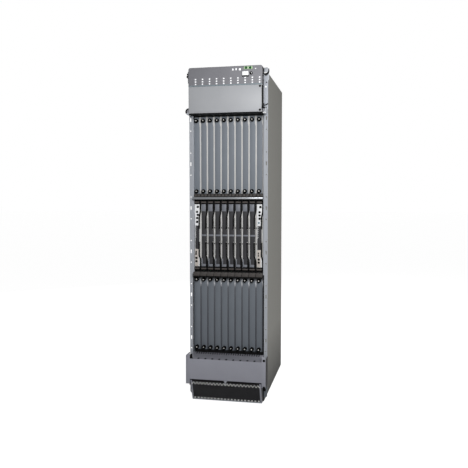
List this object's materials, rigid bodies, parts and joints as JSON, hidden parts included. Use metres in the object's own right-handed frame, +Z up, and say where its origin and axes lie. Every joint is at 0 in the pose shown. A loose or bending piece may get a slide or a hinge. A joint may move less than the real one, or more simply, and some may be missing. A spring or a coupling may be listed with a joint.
{
  "type": "ethernet router",
  "caption": "Tall rack chassis of a modular ethernet router with blank line cards, lever-ejected fabric boards, fan trays and an intake grille.",
  "frame": {"origin": "middle of the footprint on the floor", "axes": "+X to the right seen from the front, the front faces -Y, +Z up"},
  "size_m": [0.4964, 0.9194, 2.0003],
  "materials": {
    "grey_paint": "satin",
    "light_paint": "satin",
    "mid_paint": "satin",
    "card_paint": "satin",
    "dark_paint": "satin",
    "black_paint": "matte",
    "zinc_steel": "plated",
    "circuit_board": "lacquered",
    "black_plastic": "moulded"
  },
  "bodies": {
    "chassis": {"base_pan": "grey_paint", "left_side_panel": "grey_paint", "right_side_panel": "grey_paint", "top_panel": "grey_paint", "card_guide_shelves": "zinc_steel", "midplane": "circuit_board", "rear_frame": "zinc_steel", "power_supply_modules": "zinc_steel", "craft_interface": "dark_paint", "flange_brackets": "zinc_steel", "cable_managers": "black_plastic", "intake_grille": "black_paint"},
    "upper_fan_tray": {"upper_fan_tray": "light_paint"},
    "lower_fan_tray": {"lower_fan_tray": "mid_paint"},
    "left_control_board": {"left_control_board": "dark_paint"},
    "right_control_board": {"right_control_board": "dark_paint"},
    "lower_line_card_01": {"lower_line_card_01": "card_paint"},
    "lower_line_card_02": {"lower_line_card_02": "card_paint"},
    "lower_line_card_03": {"lower_line_card_03": "card_paint"},
    "lower_line_card_04": {"lower_line_card_04": "card_paint"},
    "lower_line_card_05": {"lower_line_card_05": "card_paint"},
    "lower_line_card_06": {"lower_line_card_06": "card_paint"},
    "lower_line_card_07": {"lower_line_card_07": "card_paint"},
    "lower_line_card_08": {"lower_line_card_08": "card_paint"},
    "lower_line_card_09": {"lower_line_card_09": "card_paint"},
    "lower_line_card_10": {"lower_line_card_10": "card_paint"},
    "upper_line_card_01": {"upper_line_card_01": "card_paint"},
    "upper_line_card_02": {"upper_line_card_02": "card_paint"},
    "upper_line_card_03": {"upper_line_card_03": "card_paint"},
    "upper_line_card_04": {"upper_line_card_04": "card_paint"},
    "upper_line_card_05": {"upper_line_card_05": "card_paint"},
    "upper_line_card_06": {"upper_line_card_06": "card_paint"},
    "upper_line_card_07": {"upper_line_card_07": "card_paint"},
    "upper_line_card_08": {"upper_line_card_08": "card_paint"},
    "upper_line_card_09": {"upper_line_card_09": "card_paint"},
    "upper_line_card_10": {"upper_line_card_10": "card_paint"},
    "fabric_board_1": {"fabric_board_1": "dark_paint"},
    "fabric_board_1_low_lever": {"fabric_board_1_low_lever": "black_plastic"},
    "fabric_board_1_high_lever": {"fabric_board_1_high_lever": "black_plastic"},
    "fabric_board_2": {"fabric_board_2": "dark_paint"},
    "fabric_board_2_low_lever": {"fabric_board_2_low_lever": "black_plastic"},
    "fabric_board_2_high_lever": {"fabric_board_2_high_lever": "black_plastic"},
    "fabric_board_3": {"fabric_board_3": "dark_paint"},
    "fabric_board_3_low_lever": {"fabric_board_3_low_lever": "black_plastic"},
    "fabric_board_3_high_lever": {"fabric_board_3_high_lever": "black_plastic"},
    "fabric_board_4": {"fabric_board_4": "dark_paint"},
    "fabric_board_4_low_lever": {"fabric_board_4_low_lever": "black_plastic"},
    "fabric_board_4_high_lever": {"fabric_board_4_high_lever": "black_plastic"},
    "fabric_board_5": {"fabric_board_5": "dark_paint"},
    "fabric_board_5_low_lever": {"fabric_board_5_low_lever": "black_plastic"},
    "fabric_board_5_high_lever": {"fabric_board_5_high_lever": "black_plastic"},
    "fabric_board_6": {"fabric_board_6": "dark_paint"},
    "fabric_board_6_low_lever": {"fabric_board_6_low_lever": "black_plastic"},
    "fabric_board_6_high_lever": {"fabric_board_6_high_lever": "black_plastic"},
    "fabric_board_7": {"fabric_board_7": "dark_paint"},
    "fabric_board_7_low_lever": {"fabric_board_7_low_lever": "black_plastic"},
    "fabric_board_7_high_lever": {"fabric_board_7_high_lever": "black_plastic"},
    "fabric_board_8": {"fabric_board_8": "dark_paint"},
    "fabric_board_8_low_lever": {"fabric_board_8_low_lever": "black_plastic"},
    "fabric_board_8_high_lever": {"fabric_board_8_high_lever": "black_plastic"}
  },
  "joints": [
    {"name": "upper_fan_tray_slide", "type": "slide", "parent": "chassis", "child": "upper_fan_tray", "axis": [0, -1, 0], "range_m": [0, 0.42]},
    {"name": "lower_fan_tray_slide", "type": "slide", "parent": "chassis", "child": "lower_fan_tray", "axis": [0, -1, 0], "range_m": [0, 0.42]},
    {"name": "left_control_board_slide", "type": "slide", "parent": "chassis", "child": "left_control_board", "axis": [0, -1, 0], "range_m": [0, 0.45]},
    {"name": "right_control_board_slide", "type": "slide", "parent": "chassis", "child": "right_control_board", "axis": [0, -1, 0], "range_m": [0, 0.45]},
    {"name": "lower_line_card_01_slide", "type": "slide", "parent": "chassis", "child": "lower_line_card_01", "axis": [0, -1, 0], "range_m": [0, 0.45]},
    {"name": "lower_line_card_02_slide", "type": "slide", "parent": "chassis", "child": "lower_line_card_02", "axis": [0, -1, 0], "range_m": [0, 0.45]},
    {"name": "lower_line_card_03_slide", "type": "slide", "parent": "chassis", "child": "lower_line_card_03", "axis": [0, -1, 0], "range_m": [0, 0.45]},
    {"name": "lower_line_card_04_slide", "type": "slide", "parent": "chassis", "child": "lower_line_card_04", "axis": [0, -1, 0], "range_m": [0, 0.45]},
    {"name": "lower_line_card_05_slide", "type": "slide", "parent": "chassis", "child": "lower_line_card_05", "axis": [0, -1, 0], "range_m": [0, 0.45]},
    {"name": "lower_line_card_06_slide", "type": "slide", "parent": "chassis", "child": "lower_line_card_06", "axis": [0, -1, 0], "range_m": [0, 0.45]},
    {"name": "lower_line_card_07_slide", "type": "slide", "parent": "chassis", "child": "lower_line_card_07", "axis": [0, -1, 0], "range_m": [0, 0.45]},
    {"name": "lower_line_card_08_slide", "type": "slide", "parent": "chassis", "child": "lower_line_card_08", "axis": [0, -1, 0], "range_m": [0, 0.45]},
    {"name": "lower_line_card_09_slide", "type": "slide", "parent": "chassis", "child": "lower_line_card_09", "axis": [0, -1, 0], "range_m": [0, 0.45]},
    {"name": "lower_line_card_10_slide", "type": "slide", "parent": "chassis", "child": "lower_line_card_10", "axis": [0, -1, 0], "range_m": [0, 0.45]},
    {"name": "upper_line_card_01_slide", "type": "slide", "parent": "chassis", "child": "upper_line_card_01", "axis": [0, -1, 0], "range_m": [0, 0.45]},
    {"name": "upper_line_card_02_slide", "type": "slide", "parent": "chassis", "child": "upper_line_card_02", "axis": [0, -1, 0], "range_m": [0, 0.45]},
    {"name": "upper_line_card_03_slide", "type": "slide", "parent": "chassis", "child": "upper_line_card_03", "axis": [0, -1, 0], "range_m": [0, 0.45]},
    {"name": "upper_line_card_04_slide", "type": "slide", "parent": "chassis", "child": "upper_line_card_04", "axis": [0, -1, 0], "range_m": [0, 0.45]},
    {"name": "upper_line_card_05_slide", "type": "slide", "parent": "chassis", "child": "upper_line_card_05", "axis": [0, -1, 0], "range_m": [0, 0.45]},
    {"name": "upper_line_card_06_slide", "type": "slide", "parent": "chassis", "child": "upper_line_card_06", "axis": [0, -1, 0], "range_m": [0, 0.45]},
    {"name": "upper_line_card_07_slide", "type": "slide", "parent": "chassis", "child": "upper_line_card_07", "axis": [0, -1, 0], "range_m": [0, 0.45]},
    {"name": "upper_line_card_08_slide", "type": "slide", "parent": "chassis", "child": "upper_line_card_08", "axis": [0, -1, 0], "range_m": [0, 0.45]},
    {"name": "upper_line_card_09_slide", "type": "slide", "parent": "chassis", "child": "upper_line_card_09", "axis": [0, -1, 0], "range_m": [0, 0.45]},
    {"name": "upper_line_card_10_slide", "type": "slide", "parent": "chassis", "child": "upper_line_card_10", "axis": [0, -1, 0], "range_m": [0, 0.45]},
    {"name": "fabric_board_1_slide", "type": "slide", "parent": "chassis", "child": "fabric_board_1", "axis": [0, -1, 0], "range_m": [0, 0.45]},
    {"name": "fabric_board_1_low_lever_swing", "type": "hinge", "parent": "fabric_board_1", "child": "fabric_board_1_low_lever", "pos_m": [-0.1505, -0.36175, 0.8025], "axis": [1, 0, 0], "range_deg": [0, 75]},
    {"name": "fabric_board_1_high_lever_swing", "type": "hinge", "parent": "fabric_board_1", "child": "fabric_board_1_high_lever", "pos_m": [-0.1505, -0.36175, 1.2095], "axis": [-1, 0, 0], "range_deg": [0, 75]},
    {"name": "fabric_board_2_slide", "type": "slide", "parent": "chassis", "child": "fabric_board_2", "axis": [0, -1, 0], "range_m": [0, 0.45]},
    {"name": "fabric_board_2_low_lever_swing", "type": "hinge", "parent": "fabric_board_2", "child": "fabric_board_2_low_lever", "pos_m": [-0.1075, -0.36175, 0.8025], "axis": [1, 0, 0], "range_deg": [0, 75]},
    {"name": "fabric_board_2_high_lever_swing", "type": "hinge", "parent": "fabric_board_2", "child": "fabric_board_2_high_lever", "pos_m": [-0.1075, -0.36175, 1.2095], "axis": [-1, 0, 0], "range_deg": [0, 75]},
    {"name": "fabric_board_3_slide", "type": "slide", "parent": "chassis", "child": "fabric_board_3", "axis": [0, -1, 0], "range_m": [0, 0.45]},
    {"name": "fabric_board_3_low_lever_swing", "type": "hinge", "parent": "fabric_board_3", "child": "fabric_board_3_low_lever", "pos_m": [-0.0645, -0.36175, 0.8025], "axis": [1, 0, 0], "range_deg": [0, 75]},
    {"name": "fabric_board_3_high_lever_swing", "type": "hinge", "parent": "fabric_board_3", "child": "fabric_board_3_high_lever", "pos_m": [-0.0645, -0.36175, 1.2095], "axis": [-1, 0, 0], "range_deg": [0, 75]},
    {"name": "fabric_board_4_slide", "type": "slide", "parent": "chassis", "child": "fabric_board_4", "axis": [0, -1, 0], "range_m": [0, 0.45]},
    {"name": "fabric_board_4_low_lever_swing", "type": "hinge", "parent": "fabric_board_4", "child": "fabric_board_4_low_lever", "pos_m": [-0.0215, -0.36175, 0.8025], "axis": [1, 0, 0], "range_deg": [0, 75]},
    {"name": "fabric_board_4_high_lever_swing", "type": "hinge", "parent": "fabric_board_4", "child": "fabric_board_4_high_lever", "pos_m": [-0.0215, -0.36175, 1.2095], "axis": [-1, 0, 0], "range_deg": [0, 75]},
    {"name": "fabric_board_5_slide", "type": "slide", "parent": "chassis", "child": "fabric_board_5", "axis": [0, -1, 0], "range_m": [0, 0.45]},
    {"name": "fabric_board_5_low_lever_swing", "type": "hinge", "parent": "fabric_board_5", "child": "fabric_board_5_low_lever", "pos_m": [0.0215, -0.36175, 0.8025], "axis": [1, 0, 0], "range_deg": [0, 75]},
    {"name": "fabric_board_5_high_lever_swing", "type": "hinge", "parent": "fabric_board_5", "child": "fabric_board_5_high_lever", "pos_m": [0.0215, -0.36175, 1.2095], "axis": [-1, 0, 0], "range_deg": [0, 75]},
    {"name": "fabric_board_6_slide", "type": "slide", "parent": "chassis", "child": "fabric_board_6", "axis": [0, -1, 0], "range_m": [0, 0.45]},
    {"name": "fabric_board_6_low_lever_swing", "type": "hinge", "parent": "fabric_board_6", "child": "fabric_board_6_low_lever", "pos_m": [0.0645, -0.36175, 0.8025], "axis": [1, 0, 0], "range_deg": [0, 75]},
    {"name": "fabric_board_6_high_lever_swing", "type": "hinge", "parent": "fabric_board_6", "child": "fabric_board_6_high_lever", "pos_m": [0.0645, -0.36175, 1.2095], "axis": [-1, 0, 0], "range_deg": [0, 75]},
    {"name": "fabric_board_7_slide", "type": "slide", "parent": "chassis", "child": "fabric_board_7", "axis": [0, -1, 0], "range_m": [0, 0.45]},
    {"name": "fabric_board_7_low_lever_swing", "type": "hinge", "parent": "fabric_board_7", "child": "fabric_board_7_low_lever", "pos_m": [0.1075, -0.36175, 0.8025], "axis": [1, 0, 0], "range_deg": [0, 75]},
    {"name": "fabric_board_7_high_lever_swing", "type": "hinge", "parent": "fabric_board_7", "child": "fabric_board_7_high_lever", "pos_m": [0.1075, -0.36175, 1.2095], "axis": [-1, 0, 0], "range_deg": [0, 75]},
    {"name": "fabric_board_8_slide", "type": "slide", "parent": "chassis", "child": "fabric_board_8", "axis": [0, -1, 0], "range_m": [0, 0.45]},
    {"name": "fabric_board_8_low_lever_swing", "type": "hinge", "parent": "fabric_board_8", "child": "fabric_board_8_low_lever", "pos_m": [0.1505, -0.36175, 0.8025], "axis": [1, 0, 0], "range_deg": [0, 75]},
    {"name": "fabric_board_8_high_lever_swing", "type": "hinge", "parent": "fabric_board_8", "child": "fabric_board_8_high_lever", "pos_m": [0.1505, -0.36175, 1.2095], "axis": [-1, 0, 0], "range_deg": [0, 75]}
  ]
}
